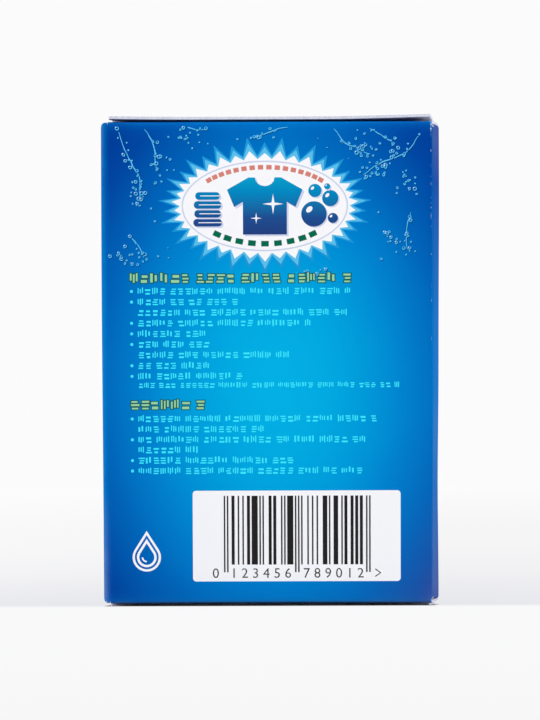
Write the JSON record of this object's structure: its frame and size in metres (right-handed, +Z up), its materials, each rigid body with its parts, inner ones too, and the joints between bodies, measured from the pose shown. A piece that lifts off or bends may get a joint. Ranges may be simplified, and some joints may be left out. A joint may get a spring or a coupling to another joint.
{
  "type": "laundry soap carton",
  "caption": "Closed folding carton of a bar of laundry soap, standing on one end, with a side lap seam, layered glued end flaps and a printed back panel.",
  "frame": {"origin": "centre of the box around the carton, on the surface it stands on", "axes": "+Z up along the carton's height, +X across the back panel towards the lap seam, +Y from the back panel to the front panel"},
  "size_m": [0.065, 0.03, 0.0963],
  "materials": {
    "printed_board": "glossy varnish over blue print, raw greyish white at cut edges"
  },
  "bodies": {
    "root": {"carton": "printed_board"}
  },
  "joints": []
}
